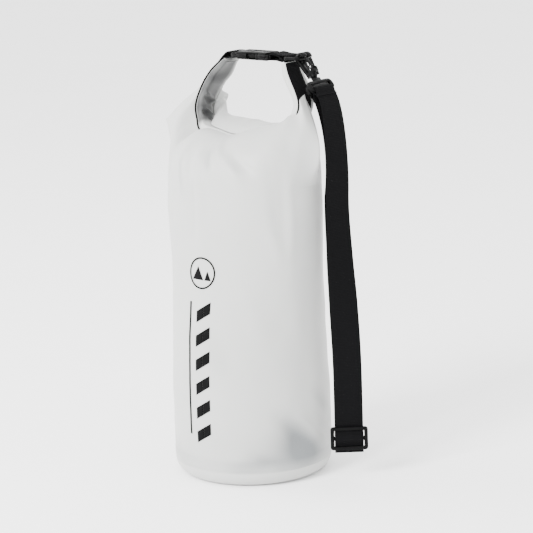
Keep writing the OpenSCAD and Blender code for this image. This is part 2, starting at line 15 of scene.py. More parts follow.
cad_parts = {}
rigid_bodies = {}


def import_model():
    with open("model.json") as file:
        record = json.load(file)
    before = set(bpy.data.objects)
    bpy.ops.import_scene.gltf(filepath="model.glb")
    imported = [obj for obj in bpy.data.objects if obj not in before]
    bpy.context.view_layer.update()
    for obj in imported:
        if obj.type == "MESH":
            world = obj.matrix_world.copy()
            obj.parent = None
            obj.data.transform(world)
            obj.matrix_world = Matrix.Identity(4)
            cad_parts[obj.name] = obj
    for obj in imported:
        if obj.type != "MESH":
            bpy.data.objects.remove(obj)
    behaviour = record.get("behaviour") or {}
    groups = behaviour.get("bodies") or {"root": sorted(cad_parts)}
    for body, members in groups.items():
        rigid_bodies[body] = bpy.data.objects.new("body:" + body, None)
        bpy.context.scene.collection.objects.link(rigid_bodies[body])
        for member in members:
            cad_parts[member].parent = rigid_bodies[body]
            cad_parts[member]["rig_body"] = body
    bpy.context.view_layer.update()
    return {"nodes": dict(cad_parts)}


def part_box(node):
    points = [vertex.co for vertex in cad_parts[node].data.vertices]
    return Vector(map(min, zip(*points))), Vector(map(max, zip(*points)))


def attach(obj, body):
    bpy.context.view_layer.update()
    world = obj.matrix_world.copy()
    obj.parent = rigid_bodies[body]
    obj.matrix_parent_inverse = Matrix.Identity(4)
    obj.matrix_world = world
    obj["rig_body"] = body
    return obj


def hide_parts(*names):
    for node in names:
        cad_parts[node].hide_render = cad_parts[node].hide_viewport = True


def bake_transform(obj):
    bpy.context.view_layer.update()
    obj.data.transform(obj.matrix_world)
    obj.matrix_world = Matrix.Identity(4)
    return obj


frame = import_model()
nodes = frame["nodes"]

MM = 0.001

# ---- Driving dimensions ----
BASE_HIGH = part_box("base_disc")[1]
BAND_LOW, BAND_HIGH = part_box("base_weld_band")
FEMALE_LOW, FEMALE_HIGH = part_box("buckle_female")
GLIDE_LOW, GLIDE_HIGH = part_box("tri_glide")

BUCKLE_Y = (FEMALE_LOW.y + FEMALE_HIGH.y) / 2
BUCKLE_Z = (FEMALE_LOW.z + FEMALE_HIGH.z) / 2
WEB_W = 25 * MM
BASE_R = BASE_HIGH.x
TUBE_R = 102 * MM
EDGE_R = 20 * MM
SHOULDER_Z = 399 * MM
FLAT_FROM_Z = 164 * MM
SHOULDER_A = 115 * MM
SHOULDER_B = 83 * MM
LOAD_SWELL = 5 * MM
SWELL_Z = 66 * MM
SWELL_REACH = 125 * MM


# ---- Small maths ----
def mm(*values):
    return np.array(values, float) * MM


def lerp(a, b, t):
    return a + (b - a) * t


def smooth(t):
    t = np.clip(t, 0, 1)
    return t * t * (3 - 2 * t)


def bezier(points, t):
    a, b, c, d = points
    return a * (1 - t) ** 3 + b * 3 * t * (1 - t) ** 2 + c * 3 * t * t * (1 - t) + d * t**3


def unit(v):
    v = np.asarray(v, float)
    return v / np.linalg.norm(v)


def bump_at(x, middle, width):
    """1 at middle, fading to 0 over about width."""
    return np.exp(-(((x - middle) / width) ** 2))


def between(x, low, high, fade):
    """1 from low to high, fading to 0 outside them."""
    return float(smooth((x - low) / fade + 0.5) * smooth((high - x) / fade + 0.5))


def spline(points, s):
    """A smooth curve through the points: whole numbers of s are the points themselves."""
    i = int(min(max(math.floor(s), 0), len(points) - 2))
    t = s - i
    p1, p2 = points[i], points[i + 1]
    p0 = points[i - 1] if i > 0 else 2 * p1 - p2
    p3 = points[i + 2] if i + 2 < len(points) else 2 * p2 - p1
    m1, m2 = (p2 - p0) / 2, (p3 - p1) / 2
    t2, t3 = t * t, t * t * t
    return (2 * t3 - 3 * t2 + 1) * p1 + (t3 - 2 * t2 + t) * m1 + (3 * t2 - 2 * t3) * p2 + (t3 - t2) * m2


# ---- The rolled mouth: its two edges, from the left tab through the trough to the right tab ----
NEAR_EDGE = [mm(*p) for p in (
    (-45, 21, 553), (-51.5, 21.5, 549), (-66.5, 19, 535.5), (-75.5, 16, 521.5), (-80, 13, 509.5),
    (-83, 10, 498.5), (-84, 8, 487.5), (-79.8, 4.7, 476), (-67, -6, 464), (-34, -11.5, 459),
    (0, -15, 455), (31, -9, 464.5), (68, -5, 473), (81.5, -2, 480), (86.5, 2, 492),
    (87, 6, 504), (80.5, 9, 517.5), (70, 13, 530), (62, 16, 542), (57, 20, 554),
)]
REAR_EDGE = [mm(*p) for p in (
    (-44, 47, 553), (-50, 49, 548), (-61, 52, 533), (-74, 51, 521), (-84, 49, 509),
    (-90, 46, 497), (-92, 42, 486), (-86, 36, 471), (-68, 27, 460), (-34, 21, 456),
    (0, 17, 455), (31, 22, 459), (68, 27, 466), (82, 31, 476), (88, 35, 492),
    (88, 39, 504), (81.5, 43, 518), (70.5, 46, 531), (62, 48, 543), (57, 47, 554),
)]
ROLL_HALF = [np.array([h * MM]) for h in (
    3.4, 3.8, 4.4, 4.8, 5, 5, 5, 5, 5, 5, 5, 5, 5, 5, 5, 5, 5, 5.6, 5.6, 4,
)]
LEFT_END, TROUGH, RIGHT_END = 0, 10, 19
LEFT_RIDGE, RIGHT_RIDGE = 2.7, 16.3
# How the rear panel leaves the roll at each place: towards the loop's inside, back and up, in mm.
# Beside the left arm it stands out as a fin; along the trough it crests behind the roll.
REAR_PLACES = (2.1, 3.2, 4.5, 6.5, 8.5, 10, 11, 12.5, 15, 19)
REAR_LEADS = (
    (45, 52, 53, 18, 2, 0, 0, 10, 30, 30),
    (34, 42, 46, 38, 30, 20, 4, 14, 25, 25),
    (24, 36, 42, 34, 24, 30, 10, -4, 0, 0),
)
COVER_FROM, COVER_TO = 8.2, 14.0


def roll_frame(s):
    """Near edge, rear edge, half thickness and outward side of the roll at place s."""
    near, rear = spline(NEAR_EDGE, s), spline(REAR_EDGE, s)
    step = 0.15
    a, b = max(LEFT_END, s - step), min(RIGHT_END, s + step)
    along = spline(NEAR_EDGE, b) + spline(REAR_EDGE, b) - spline(NEAR_EDGE, a) - spline(REAR_EDGE, a)
    outward = unit(np.cross(unit(along), unit(rear - near)))
    return near, rear, float(spline(ROLL_HALF, s)[0]), -outward


def roll_at(s, u, n):
    """u runs from the near edge to the rear edge; n is outward from the middle, in half thicknesses."""
    near, rear, half, outward = roll_frame(s)
    return lerp(near, rear, u) + outward * half * n


def place_along(edge, start, end, share):
    """The place s at a share of the way along an edge, by length."""
    steps = np.linspace(start, end, 60)
    points = np.array([spline(edge, s) for s in steps])
    lengths = np.concatenate([[0], np.cumsum(np.linalg.norm(np.diff(points, axis=0), axis=1))])
    return float(np.interp(share * lengths[-1], lengths, steps))


# ---- The bag's shape ----
def tube_half_widths(z):
    flat = smooth((z - FLAT_FROM_Z) / (SHOULDER_Z - FLAT_FROM_Z))
    round_r = TUBE_R + LOAD_SWELL * bump_at(z, SWELL_Z, SWELL_REACH)
    return lerp(round_r, SHOULDER_A, flat), lerp(round_r, SHOULDER_B, flat)


def tube_point(angle, z):
    a, b = tube_half_widths(z)
    return np.array([a * math.cos(angle), b * math.sin(angle), z])


FRONT_LEFT = [place_along(NEAR_EDGE, LEFT_RIDGE, TROUGH, i / 40) for i in range(41)]
FRONT_RIGHT = [place_along(NEAR_EDGE, RIGHT_RIDGE, TROUGH, i / 40) for i in range(41)]
REAR_LEFT = [place_along(REAR_EDGE, LEFT_RIDGE - 0.6, TROUGH, i / 40) for i in range(41)]
REAR_RIGHT = [place_along(REAR_EDGE, RIGHT_RIDGE + 0.8, TROUGH, i / 40) for i in range(41)]


def top_and_lead(angle):
    """Where the fabric at this angle meets the roll, and the offset that it arrives from."""
    left, front = math.cos(angle) < 0, math.sin(angle) < 0
    share = math.asin(min(1, abs(math.sin(angle)))) / (math.pi / 2)
    table = (FRONT_LEFT if left else FRONT_RIGHT) if front else (REAR_LEFT if left else REAR_RIGHT)
    s = float(np.interp(share * 40, range(41), table))
    sign = -1 if left else 1
    arm = smooth((abs(s - TROUGH) - 0.8) / 2.6)
    if front:
        cover = between(s, COVER_FROM, COVER_TO, 0.8)
        crease = between(s, COVER_FROM, TROUGH + 0.6, 1.2)
        edge = smooth(share / 0.12)
        u = lerp(0.5, lerp(0.05, 0.02, crease), edge)
        n = lerp(1.15, lerp(-1.25, -0.7, crease), cover)
        over = lerp(mm(0, -26, 5), mm(0, -12, 9), crease)
        lead = lerp(mm(sign * 14, -22, -16), over, cover)
    else:
        turn = smooth(share / 0.16)
        u = lerp(0.5, lerp(0.12, 0.96, arm), turn)
        n = lerp(1.15, -1.2, turn)
        inward = -roll_frame(s)[3]
        reach, back, up = (np.interp(s, REAR_PLACES, column) for column in REAR_LEADS)
        lead = inward * reach * MM + mm(0, back, up)
        lead = lerp(mm(sign * 16, 14, -12), lead, turn)
    return roll_at(s, u, n), lead, arm


# The folded sides stand out as a ridge, with a corner part of the way up
LEFT_CORNER = (mm(-146, -2, 474), mm(-150, -2, 480))
RIGHT_CORNER = (mm(139, -2, 446), mm(140, -2, 450))
LEFT_PEAK = mm(-136.5, -2, 470)


def peak_path(start, peak, end, t):
    """From start up to a sharp peak at t 0.5, and on to the end: both halves bow out a little."""
    if t < 0.5:
        bow = lerp(start, peak, 0.33) + mm(-2, 0, 0)
        return bezier([start, bow, lerp(start, peak, 0.7), peak], t * 2)
    bow = lerp(peak, end, 0.7) + mm(-3, 0, 2)
    return bezier([peak, lerp(peak, end, 0.3), bow, end], t * 2 - 1)


def shoulder_point(angle, t):
    """The fabric between the tube and the roll: t runs from 0 to 1."""
    start = tube_point(angle, SHOULDER_Z)
    end, lead, arm = top_and_lead(angle)
    wide, left = abs(math.cos(angle)), math.cos(angle) < 0
    ridge = 0.6 * wide**60 + 0.4 * wide**14
    corner = LEFT_CORNER if left else RIGHT_CORNER
    rise = mm(0, 0, 58) if math.sin(angle) < 0 else mm(0, lerp(-3, 3, arm), lerp(80, 62, arm))
    first = lerp(start + rise, corner[0], ridge)
    second = lerp(end + lead, corner[1], ridge)
    point = bezier([start, first, second, end], t)
    if left:
        point = lerp(point, peak_path(start, LEFT_PEAK, end, t), wide**50)
    return point


# ---- Meshes from rings of points ----
def grid_mesh(name, rings, closed=True, cap_start=False, cap_end=False, smooth_shade=True):
    """A mesh through rings of points. Rings are closed loops unless closed is False."""
    count = len(rings[0])
    verts = [tuple(p) for ring in rings for p in ring]
    faces = []
    last = count if closed else count - 1
    for i in range(len(rings) - 1):
        for j in range(last):
            a, b = i * count + j, i * count + (j + 1) % count
            faces.append((a, b, b + count, a + count))
    if cap_start:
        faces.append(tuple(reversed(range(count))))
    if cap_end:
        faces.append(tuple((len(rings) - 1) * count + j for j in range(count)))
    mesh = bpy.data.meshes.new(name)
    mesh.from_pydata(verts, [], faces)
    add_uv(mesh, rings, count, closed)
    for polygon in mesh.polygons:
        polygon.use_smooth = smooth_shade
    obj = bpy.data.objects.new(name, mesh)
    bpy.context.scene.collection.objects.link(obj)
    return obj


def add_uv(mesh, rings, count, closed):
    """UV in metres: U round or across the ring, V along the rings."""
    points = np.array(rings, float)
    step = np.linalg.norm(np.diff(points, axis=0), axis=2).mean(1)
    along = np.concatenate([[0], np.cumsum(step)])
    ring = points[len(points) // 2]
    after = np.vstack([ring[1:], ring[:1]])
    around = np.concatenate([[0], np.cumsum(np.linalg.norm(after - ring, axis=1))])
    layer = mesh.uv_layers.new(name="UVMap")
    for polygon in mesh.polygons:
        columns = [mesh.loops[k].vertex_index % count for k in polygon.loop_indices]
        wraps = closed and count - 1 in columns
        for k in polygon.loop_indices:
            i, j = divmod(mesh.loops[k].vertex_index, count)
            if wraps and j == 0 and len(polygon.loop_indices) == 4:
                j = count
            layer.data[k].uv = (around[j], along[i])


def recalc_normals(obj):
    bm = bmesh.new()
    bm.from_mesh(obj.data)
    bmesh.ops.recalc_face_normals(bm, faces=bm.faces)
    bm.to_mesh(obj.data)
    bm.free()


# ---- Materials ----
# Settings of a shader node itself; every other name is one of its inputs
NODE_SETTINGS = ("operation", "data_type", "wave_type", "bands_direction")
# A wave texture repeats about this many times in each unit of its scale
WAVE_TURN = 3.14


class Shader:
    """A material's node tree, with short calls to add and join nodes."""

    def __init__(self, name, color, roughness, metallic=0.0):
        self.material = bpy.data.materials.new(name)
        self.material.use_nodes = True
        self.tree = self.material.node_tree
        self.surface = self.tree.nodes["Principled BSDF"]
        self.surface.inputs["Base Color"].default_value = (*color, 1)
        self.surface.inputs["Roughness"].default_value = roughness
        self.surface.inputs["Metallic"].default_value = metallic

    def add(self, kind, **inputs):
        node = self.tree.nodes.new(kind)
        for key, value in inputs.items():
            if key in NODE_SETTINGS:
                setattr(node, key, value)
            else:
                node.inputs[key.replace("_", " ")].default_value = value
        return node

    def join(self, a, output, b, socket):
        self.tree.links.new(a.outputs[output], b.inputs[socket])

    def coordinates(self, which, scale=(1, 1, 1)):
        source = self.add("ShaderNodeTexCoord")
        mapping = self.add("ShaderNodeMapping")
        mapping.inputs["Scale"].default_value = scale
        self.join(source, which, mapping, "Vector")
        return mapping

    def noise(self, where, scale, detail=4, roughness=0.5):
        node = self.add("ShaderNodeTexNoise", Scale=scale, Detail=detail, Roughness=roughness)
        self.join(where, "Vector", node, "Vector")
        return node

    def ramp(self, source, output, low, high, dark, light):
        node = self.add("ShaderNodeValToRGB")
        node.color_ramp.elements[0].position = low
        node.color_ramp.elements[1].position = high
        node.color_ramp.elements[0].color = (*dark, 1)
        node.color_ramp.elements[1].color = (*light, 1)
        self.join(source, output, node, "Fac")
        return node

    def math(self, operation, a, a_out, b, b_out="Value"):
        node = self.add("ShaderNodeMath", operation=operation)
        self.join(a, a_out, node, 0)
        if isinstance(b, (int, float)):
            node.inputs[1].default_value = b
        else:
            self.join(b, b_out, node, 1)
        return node

    def bump(self, height, output, strength, distance, under=None):
        node = self.add("ShaderNodeBump", Strength=strength, Distance=distance)
        self.join(height, output, node, "Height")
        if under is not None:
            self.join(under, "Normal", node, "Normal")
        return node

    def finish(self, bump=None):
        if bump is not None:
            self.join(bump, "Normal", self.surface, "Normal")
        return self.material


def fabric_material(name, color=(0.41, 0.415, 0.404), band=None):
    """Frosted coated fabric: cloudy light and dark, a faint woven scrim and a soft sheen."""
    s = Shader(name, color, 0.46)
    where = s.coordinates("Object")
    cloud = s.noise(where, 9, 3)
    tint = s.ramp(cloud, "Fac", 0.3, 0.7, [c * 0.965 for c in color], [min(1, c * 1.02) for c in color])
    # Where the mesh's band attribute marks it, the band colour is mixed in: painted shade on the bag's
    # fabric and weld band, and on the roll the black band inside it showing through
    if band is None:
        s.join(tint, "Color", s.surface, "Base Color")
    else:
        mask = s.add("ShaderNodeAttribute")
        mask.attribute_name = "band"
        mix = s.add("ShaderNodeMix", data_type="RGBA")
        s.join(mask, "Fac", mix, 0)
        s.tree.links.new(tint.outputs["Color"], mix.inputs[6])
        mix.inputs[7].default_value = (*band, 1)
        s.tree.links.new(mix.outputs[2], s.surface.inputs["Base Color"])
    rough = s.ramp(s.noise(where, 60, 4), "Fac", 0.3, 0.7, (0.4,) * 3, (0.52,) * 3)
    s.join(rough, "Color", s.surface, "Roughness")
    uv = s.coordinates("UV")
    fine = s.add("ShaderNodeTexWave", wave_type="BANDS", bands_direction="X", Scale=900, Distortion=0)
    cross = s.add("ShaderNodeTexWave", wave_type="BANDS", bands_direction="Y", Scale=900, Distortion=0)
    s.join(uv, "Vector", fine, "Vector")
    s.join(uv, "Vector", cross, "Vector")
    weave = s.math("ADD", fine, "Fac", cross, "Fac")
    ripple = s.noise(where, 26, 3)
    soft = s.bump(ripple, "Fac", 0.10, 1.2 * MM)
    s.surface.inputs["Specular IOR Level"].default_value = 0.3
    s.surface.inputs["Subsurface Weight"].default_value = 0.15
    s.surface.inputs["Subsurface Radius"].default_value = (0.01, 0.01, 0.01)
    s.surface.inputs["Subsurface Scale"].default_value = 0.6
    s.surface.inputs["Sheen Weight"].default_value = 0.1
    return s.finish(s.bump(weave, "Value", 0.06, 0.1 * MM, soft))


def webbing_material(name, color=(0.0022, 0.0022, 0.0025), rib=2.2 * MM):
    """Woven webbing: raised cross ribs in short offset rows, with dusty highlights."""
    s = Shader(name, color, 0.85)
    uv = s.coordinates("UV")
    band = dict(wave_type="BANDS", Distortion=0)
    rows = s.add("ShaderNodeTexWave", bands_direction="Y", Scale=1 / rib / WAVE_TURN, **band)
    columns = s.add("ShaderNodeTexWave", bands_direction="X", Scale=1 / rib, **band)
    s.join(uv, "Vector", rows, "Vector")
    s.join(uv, "Vector", columns, "Vector")
    weave = s.math("MULTIPLY", rows, "Fac", columns, "Fac")
    fuzz = s.noise(s.coordinates("Object"), 700, 3)
    tint = s.ramp(weave, "Value", 0.0, 1.0, [c * 0.75 for c in color], [c * 1.5 for c in color])
    s.join(tint, "Color", s.surface, "Base Color")
    lift = s.bump(fuzz, "Fac", 0.25, 0.15 * MM)
    s.surface.inputs["Specular IOR Level"].default_value = 0.05
    return s.finish(s.bump(weave, "Value", 0.5, 0.4 * MM, lift))


def moulded_material(name, color=(0.0015, 0.0015, 0.0016), roughness=0.4):
    """Moulded acetal: fine spark texture, with rubbed patches that shine a little more."""
    s = Shader(name, color, roughness)
    where = s.coordinates("Object")
    smoother, rougher = (roughness - 0.08,) * 3, (roughness + 0.1,) * 3
    rub = s.ramp(s.noise(where, 90, 4), "Fac", 0.35, 0.7, smoother, rougher)
    s.join(rub, "Color", s.surface, "Roughness")
    darker, lighter = [c * 0.8 for c in color], [c * 1.5 for c in color]
    tint = s.ramp(s.noise(where, 40, 3), "Fac", 0.3, 0.7, darker, lighter)
    s.join(tint, "Color", s.surface, "Base Color")
    grain = s.noise(where, 2600, 2)
    s.surface.inputs["Specular IOR Level"].default_value = 0.05
    return s.finish(s.bump(grain, "Fac", 0.12, 0.08 * MM))


def steel_material(name):
    s = Shader(name, (0.55, 0.55, 0.56), 0.32, 1.0)
    grain = s.noise(s.coordinates("Object", (1, 12, 1)), 500, 3)
    rough = s.ramp(grain, "Fac", 0.3, 0.7, (0.25,) * 3, (0.4,) * 3)
    s.join(rough, "Color", s.surface, "Roughness")
    return s.finish(s.bump(grain, "Fac", 0.08, 0.05 * MM))


def print_material(name):
    """Screen-print ink: nearly black, slightly uneven and worn thin in specks."""
    s = Shader(name, (0.002, 0.002, 0.0022), 0.5)
    s.surface.inputs["Specular IOR Level"].default_value = 0.04
    where = s.coordinates("Object")
    ink, worn = (0.0016, 0.0016, 0.0018), (0.012, 0.012, 0.013)
    tint = s.ramp(s.noise(where, 500, 4), "Fac", 0.62, 0.8, ink, worn)
    s.join(tint, "Color", s.surface, "Base Color")
    return s.finish(s.bump(s.noise(where, 800, 3), "Fac", 0.15, 0.05 * MM))


# The band colour of the fabric and weld band materials is painted shade; the roll's is the black band
# showing through it
MATERIALS = {
    "fabric": fabric_material("coated_fabric", band=(0.15, 0.16, 0.165)),
    "roll": fabric_material("coated_fabric_roll", band=(0.016, 0.0165, 0.017)),
    "tape": fabric_material("weld_tape", (0.40, 0.405, 0.395)),
    "band": fabric_material("weld_tape_band", (0.40, 0.405, 0.395), band=(0.15, 0.16, 0.165)),
    "webbing": webbing_material("webbing_black"),
    "plastic": moulded_material("plastic_black"),
    "steel": steel_material("pin_steel"),
    "print": print_material("print_black"),
    "thread": webbing_material("thread_black", (0.006, 0.006, 0.0066)),
}


def dress(obj, which):
    obj.data.materials.clear()
    obj.data.materials.append(MATERIALS[which])
    return obj


# ---- Creases: (angle, height) at each end in degrees and mm, width and height in mm ----
CREASES = (
    ((-76, 436), (-58, 404), 9, 1.6), ((-70, 446), (-50, 418), 7, -1.3),
    ((-40, 347), (-25, 293), 12, 1.1), ((-25, 436), (-19, 265), 9, 0.9),
    ((-31, 430), (-27, 300), 10, -0.7), ((-98, 430), (-89, 300), 12, 1.2),
    ((-104, 440), (-99, 330), 10, -0.9), ((-118, 452), (-104, 404), 9, 1.4),
    ((-128, 446), (-117, 380), 10, -1.1), ((-96, 452), (-84, 420), 7, -1.5),
    ((-88, 458), (-76, 434), 6, 1.3), ((-52, 250), (-36, 182), 15, 0.8),
    ((-84, 210), (-66, 150), 16, -0.7), ((-15, 240), (-4, 170), 14, 0.9),
    ((-62, 120), (-40, 74), 14, 0.8), ((-30, 96), (-2, 40), 13, -2.0),
    ((-12, 92), (20, 34), 8, 1.9), ((2, 120), (28, 70), 11, -1.2),
    ((-50, 44), (-22, 22), 10, -1.3), ((-148, 400), (-136, 300), 14, 1.0),
    ((-160, 430), (-150, 330), 11, -1.0), ((160, 440), (140, 340), 13, 1.3),
    ((130, 450), (118, 380), 10, -1.4), ((104, 456), (98, 400), 9, 1.4),
    ((76, 456), (84, 390), 9, -1.3), ((52, 450), (60, 360), 12, 1.3),
    ((30, 440), (40, 350), 12, -1.2), ((100, 300), (120, 210), 16, 1.0),
    ((60, 260), (48, 160), 16, -0.9), ((140, 120), (118, 50), 14, 1.2),
    ((70, 90), (92, 36), 12, -1.3), ((14, 330), (24, 230), 14, 0.9),
    ((-170, 200), (-158, 90), 16, 1.0),
)
DENT_ANGLE, DENT_Z, DENT_DEPTH = -16, 50, 5.0
CREASE_GAIN = 1.8
# The stiff base holds the fabric smooth up to about this far above its edge
HELD_BY_BASE = 22 * MM


def crease_height(angle, z):
    """How far the creases lift the fabric at this angle and height, in metres."""
    x, y = math.degrees(angle), z / MM
    x = x - 360 if x > 180 else x
    total = -DENT_DEPTH * bump_at(x, DENT_ANGLE, 20) * bump_at(y, DENT_Z, 26)
    for (x0, y0), (x1, y1), width, height in CREASES:
        scale = TUBE_R / MM * math.pi / 180
        ax, ay = (x - x0) * scale, y - y0
        bx, by = (x1 - x0) * scale, y1 - y0
        if abs(ax) > 150:
            continue
        t = min(1, max(0, (ax * bx + ay * by) / (bx * bx + by * by)))
        gap = math.hypot(ax - bx * t, ay - by * t) / width
        if gap < 3:
            fade = math.sin(math.pi * min(1, max(0.12, t * 0.86 + 0.1)))
            total += CREASE_GAIN * height * math.exp(-gap * gap * 1.4) * fade
    return total * MM


def ruffle(point, size, height, seed):
    return height * noise.noise(Vector(point) / size + Vector((seed, 3.7, 1.3)))


def skin_lift(angle, z, point):
    """How far the fabric stands off its smooth shape at a point, in metres."""
    lift = crease_height(angle % (2 * math.pi), z)
    lift += ruffle(point, 0.07, 1.2 * MM, 0.0) + ruffle(point, 0.028, 0.5 * MM, 5.0)
    return lift * float(smooth((z - EDGE_R) / HELD_BY_BASE))


def tube_skin(angle, z, lift):
    """A point on the creased fabric of the tube, raised by lift in mm."""
    point, step = tube_point(angle, z), 1e-3
    around = tube_point(angle + step, z) - point
    up = tube_point(angle, z + step) - point
    return point + unit(np.cross(around, up)) * (skin_lift(angle, z, point) + lift * MM)


def crumple(obj, rings, count):
    """Moves a lofted mesh along its normals by its creases and a little unevenness."""
    mesh = obj.data
    normals = [v.normal.copy() for v in mesh.vertices]
    rows = len(rings)
    for i in range(rows):
        keep = smooth((rows - 1 - i) / 5)
        for j in range(count):
            v = mesh.vertices[i * count + j]
            v.co += normals[i * count + j] * skin_lift(2 * math.pi * j / count, v.co.z, v.co) * keep
    mesh.update()


# ---- Bag pieces ----
AROUND = 216


def bag_fabric():
    angles = [2 * math.pi * j / AROUND for j in range(AROUND)]
    rings = [[tube_point(a, z) for a in angles] for z in np.linspace(EDGE_R, SHOULDER_Z, 84)]
    rings += [[shoulder_point(a, t) for a in angles] for t in np.linspace(0, 1, 65)[1:]]
    obj = grid_mesh("bag_fabric", rings)
    crumple(obj, rings, AROUND)
    paint_shade(obj)
    dress(obj, "fabric")
    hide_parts("fabric_tube")
    return obj


# Painted shade: soft dark patches where shadow falls on the fabric, as in the dent low on the front and
# under the trough:
# angle in degrees, height in mm, reach of each, and how dark
PAINTED_SHADE_PATCHES = (
    (-14, 62, 16, 30, 0.62), (-2, 40, 14, 16, 0.5), (-30, 36, 20, 12, 0.4), (-52, 30, 26, 9, 0.25),
    (-84, 446, 13, 10, 0.35), (-62, 60, 30, 20, 0.12), (40, 60, 24, 30, 0.35), (120, 50, 30, 26, 0.3),
    (-8, 300, 10, 160, 0.22), (170, 260, 20, 150, 0.15), (-130, 40, 30, 14, 0.22), (80, 40, 30, 16, 0.3),
)
# How dark the painted shade is at the bottom of the tube
BOTTOM_PAINTED_SHADE = 0.16


def paint_shade(obj):
    """Stores the painted shade at each point in the attribute that the fabric's material reads: darker
    towards the bottom, in the listed patches and in the hollows of creases.
    """
    shade = obj.data.attributes.new("band", "FLOAT", "POINT")
    for i, v in enumerate(obj.data.vertices):
        x, y = math.degrees(math.atan2(v.co.y, v.co.x)), v.co.z / MM
        # Painted shade, darker towards the bottom of the tube
        total = BOTTOM_PAINTED_SHADE * (1 - smooth((y - 30) / 14))
        for angle, height, wide, tall, depth in PAINTED_SHADE_PATCHES:
            gap = (x - angle + 180) % 360 - 180
            total += depth * bump_at(gap, 0, wide) * bump_at(y, height, tall)
        lift = crease_height(math.radians(x % 360), v.co.z) / MM
        # Painted shade in the hollows of the creases, fading out a little above the shoulder
        total += 0.15 * max(0, -lift) * (1 - smooth((y - SHOULDER_Z / MM - 40) / 20))
        total *= 0.8 + 0.5 * noise.noise(v.co / 0.05)
        shade.data[i].value = float(min(1, max(0, total)))


def bag_base():
    angles = [2 * math.pi * j / AROUND for j in range(AROUND)]
    profile = [(0.02, 1.2), (0.3, 0.9), (0.62, 0.4), (0.78, 0.1)]
    flat_r = BASE_R - EDGE_R
    rings = []
    for share, z in profile:
        r = share * flat_r
        rings.append([(r * math.cos(a), r * math.sin(a), z * MM) for a in angles])
    for k in range(13):
        bend = math.pi / 2 * k / 12
        r, z = flat_r + EDGE_R * math.sin(bend), EDGE_R * (1 - math.cos(bend))
        rings.append([(r * math.cos(a), r * math.sin(a), z) for a in angles])
    obj = grid_mesh("bag_base", rings, cap_start=True)
    dress(obj, "fabric")
    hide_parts("base_disc")
    return obj


def weld_band():
    angles = [2 * math.pi * j / AROUND for j in range(AROUND)]
    rows = [(0.0, 0.0), (0.05, 0.2), (0.2, 0.35), (0.8, 0.35), (0.95, 0.2), (1.0, 0.0)]
    rings = []
    for t, lift in rows:
        z = lerp(BAND_LOW.z, BAND_HIGH.z, t)
        rings.append([tube_skin(k, z, lift) for k in angles])
    obj = grid_mesh("weld_band", rings)
    # The weld band carries the same painted shade as the fabric round it
    paint_shade(obj)
    dress(obj, "band")
    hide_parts("base_weld_band")
    return obj


def roll_section(count=9):
    """A rounded strip across the roll, as (u, n) pairs: outer face, rear edge, inner face, near edge."""
    ring = []
    for k in range(count):
        ring.append((lerp(0.06, 0.94, k / (count - 1)), 1))
    for angle in (60, 30, 0, -30, -60):
        ring.append((0.94 + 0.06 * math.cos(math.radians(angle)), math.sin(math.radians(angle))))
    for k in range(count):
        ring.append((lerp(0.94, 0.06, k / (count - 1)), -1))
    for angle in (-60, -30, 0, 30, 60):
        ring.append((0.06 - 0.06 * math.cos(math.radians(angle)), math.sin(math.radians(angle))))
    return ring


# Folds across the left arm: where each crosses the near edge, its slant, width and height
ROLL_FOLDS = (
    (2.4, 0.9, 0.25, 1.0), (3.9, 1.5, 0.22, 4.2), (4.5, 1.5, 0.30, -3.0), (5.9, 1.3, 0.20, 3.8),
    (6.5, 1.2, 0.30, -2.8), (13.4, -0.8, 0.3, 1.6), (15.2, -0.9, 0.35, -1.6), (16.4, -0.8, 0.3, 1.4),
)


def fold_height(s, u):
    total = 0
    for start, slant, width, height in ROLL_FOLDS:
        total += height * bump_at(s, start + slant * u, width) * smooth(u / 0.12) * (1 - 0.3 * u)
    return total * MM


def roll_fabric():
    rings = []
    places = np.linspace(LEFT_END, RIGHT_END, 240)
    section = roll_section()
    for s in places:
        outward = roll_frame(s)[3]
        ring = []
        for u, n in section:
            ring.append(roll_at(s, u, n) - outward * fold_height(s, u) * (1 if n < 0 else 0))
        rings.append(ring)
    obj = grid_mesh("roll_fabric", rings, cap_start=True, cap_end=True)
    paint_band(obj, places)
    dress(obj, "roll")
    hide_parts("mouth_roll", "mouth_roll_right", "mouth_stiffener", "mouth_stiffener_right")
    return obj


def paint_band(obj, places):
    """Marks where the black band inside the roll shows through the frosted fabric."""
    section = roll_section()
    shade = obj.data.attributes.new("band", "FLOAT", "POINT")
    for i, s in enumerate(places):
        left = between(s, -1, 7.6, 0.7)
        right = between(s, 13.4, 20, 0.7)
        for j, (u, n) in enumerate(section):
            inner = 1 if n < 0.8 else 0.3
            value = left * between(u, -0.5, 0.86, 0.2) + right * between(u, 0.2, 0.86, 0.2)
            value *= inner
            fade = 0.94 + 0.1 * noise.noise(Vector((s * 0.9, u * 2.0, 0.4)))
            shade.data[i * len(section) + j].value = min(1, value * fade)


def handle_band():
    rings = []
    for s in np.linspace(0.1, 18.9, 160):
        near, rear, half, outward = roll_frame(s)
        width = np.linalg.norm(rear - near)
        low, high = -0.5 * MM / width, WEB_W / width
        ring = []
        profile = ((low, 0.1), (low, 1.3), (low + 0.02, 1.6))
        profile += ((high - 0.02, 1.6), (high, 1.3), (high, 0.1))
        for u, lift in profile:
            ring.append(lerp(near, rear, u) + outward * (half + lift * MM))
        rings.append(ring)
    obj = grid_mesh("handle_band", rings, cap_start=True, cap_end=True)
    dress(obj, "webbing")
    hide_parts("handle_webbing", "handle_webbing_right")
    return obj


def bend_with_buckle(obj):
    """Bakes the piece's placing into its mesh."""
    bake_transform(obj)


